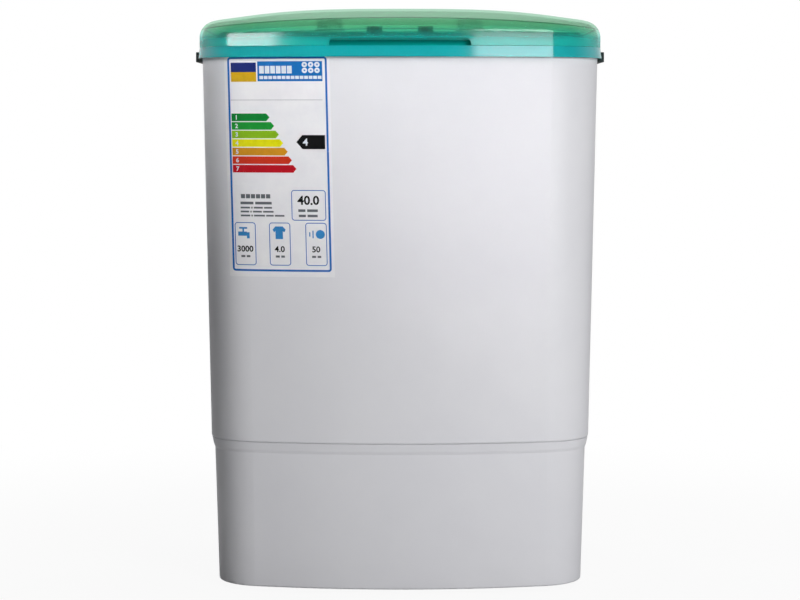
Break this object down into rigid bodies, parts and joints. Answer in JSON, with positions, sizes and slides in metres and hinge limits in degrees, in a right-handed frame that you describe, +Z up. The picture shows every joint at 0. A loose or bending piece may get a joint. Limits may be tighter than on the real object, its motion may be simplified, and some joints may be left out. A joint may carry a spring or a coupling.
{
  "type": "washing machine",
  "caption": "Portable top-loading washing machine: tapered white casing on a narrower base, hinged tinted lid, wash tub with belt-driven pulsator, timer and drain knobs.",
  "frame": {"origin": "on the floor under the middle of the cabinet's box", "axes": "+Z up, front faces -Y, +X to the viewer's right from the front"},
  "size_m": [0.422, 0.3799, 0.6002],
  "materials": {
    "white_plastic": "moulded, satin",
    "teal_plastic": "moulded, glossy",
    "tinted_lid": "tinted, see-through, glossy",
    "dark_plastic": "moulded, matt",
    "hinge_plastic": "moulded, satin",
    "tub_plastic": "moulded, glossy",
    "grey_plastic": "moulded, matt",
    "white_fittings": "moulded, glossy",
    "pulsator_plastic": "moulded, glossy",
    "nylon": "moulded nylon",
    "rubber": "moulded rubber",
    "steel": "bright zinc plated",
    "pressed_steel": "pressed sheet, grey zinc",
    "laminations": "varnished sheet stack",
    "cast_aluminium": "die cast",
    "copper_wire": "varnished winding",
    "bronze": "sintered bronze",
    "capacitor_case": "plastic can",
    "cable_sheath": "sleeved wires"
  },
  "bodies": {
    "cabinet": {"outer_casing": "white_plastic", "base_skirt": "white_plastic", "bottom_plate": "grey_plastic", "rubber_feet": "rubber", "foot_screws": "steel", "casing_screws": "steel", "bottom_plate_screws": "steel", "frame_screws": "steel", "wash_tub": "tub_plastic", "overflow_grille": "white_fittings", "overflow_pipe": "rubber", "top_frame": "teal_plastic", "control_panel": "white_fittings", "hinge_bracket": "hinge_plastic", "hinge_pins": "steel", "carry_grips": "dark_plastic", "shaft_seal": "rubber", "upper_bush": "bronze", "lower_bush": "bronze", "bearing_housing": "cast_aluminium", "housing_bolts": "steel", "drive_belt": "rubber", "motor_stator": "laminations", "motor_windings": "copper_wire", "motor_upper_bell": "cast_aluminium", "motor_lower_bell": "cast_aluminium", "motor_bracket": "pressed_steel", "bracket_bolts": "steel", "motor_grommets": "rubber", "motor_bolts": "steel", "run_capacitor": "capacitor_case", "capacitor_strap": "pressed_steel", "strap_screw": "steel", "timer_body": "grey_plastic", "selector_body": "grey_plastic", "valve_spring": "steel", "valve_cap": "grey_plastic", "valve_body": "grey_plastic", "sump_pipe": "rubber", "drain_spigot": "grey_plastic", "cable_gland": "dark_plastic", "wiring_harness": "cable_sheath"},
    "lid": {"lid_shell": "tinted_lid", "lid_knuckles": "dark_plastic"},
    "pulsator_drive": {"pulsator": "pulsator_plastic", "pulsator_screw": "steel", "drive_shaft": "steel", "driven_pulley": "cast_aluminium", "pulley_nut": "steel"},
    "motor_rotor": {"rotor_core": "laminations", "rotor_shaft": "steel", "motor_pulley": "cast_aluminium", "cooling_fan": "grey_plastic"},
    "timer_control": {"timer_knob": "white_fittings", "timer_spindle": "steel"},
    "drain_control": {"drain_knob": "white_fittings", "drain_cam": "white_fittings"},
    "drain_plunger": {"valve_plunger": "rubber", "drain_strap": "nylon"}
  },
  "joints": [
    {"name": "lid_hinge", "type": "hinge", "parent": "cabinet", "child": "lid", "pos_m": [0, 0.12, 0.582], "axis": [-1, 0, 0], "range_deg": [0, 100]},
    {"name": "pulsator_spin", "type": "hinge", "parent": "cabinet", "child": "pulsator_drive", "pos_m": [0, -0.03325, 0.187], "axis": [0, 0, 1], "continuous": true},
    {"name": "motor_spin", "type": "hinge", "parent": "cabinet", "child": "motor_rotor", "pos_m": [0.104, 0.038, 0.074], "axis": [0, 0, 1], "continuous": true},
    {"name": "timer_turn", "type": "hinge", "parent": "cabinet", "child": "timer_control", "pos_m": [0.08, 0.16, 0.5826], "axis": [0, 0, -1], "range_deg": [0, 300]},
    {"name": "drain_turn", "type": "hinge", "parent": "cabinet", "child": "drain_control", "pos_m": [-0.08, 0.16, 0.5826], "axis": [0, 0, -1], "range_deg": [0, 90]},
    {"name": "drain_lift", "type": "slide", "parent": "cabinet", "child": "drain_plunger", "axis": [0, 0, 1], "range_m": [0, 0.012], "deforming": ["valve_spring"]}
  ],
  "couplings": [
    {"joint": "motor_spin", "follows": "pulsator_spin", "ratio": 3.3889},
    {"joint": "drain_lift", "follows": "drain_turn", "m_per_rad": 0.007639}
  ]
}
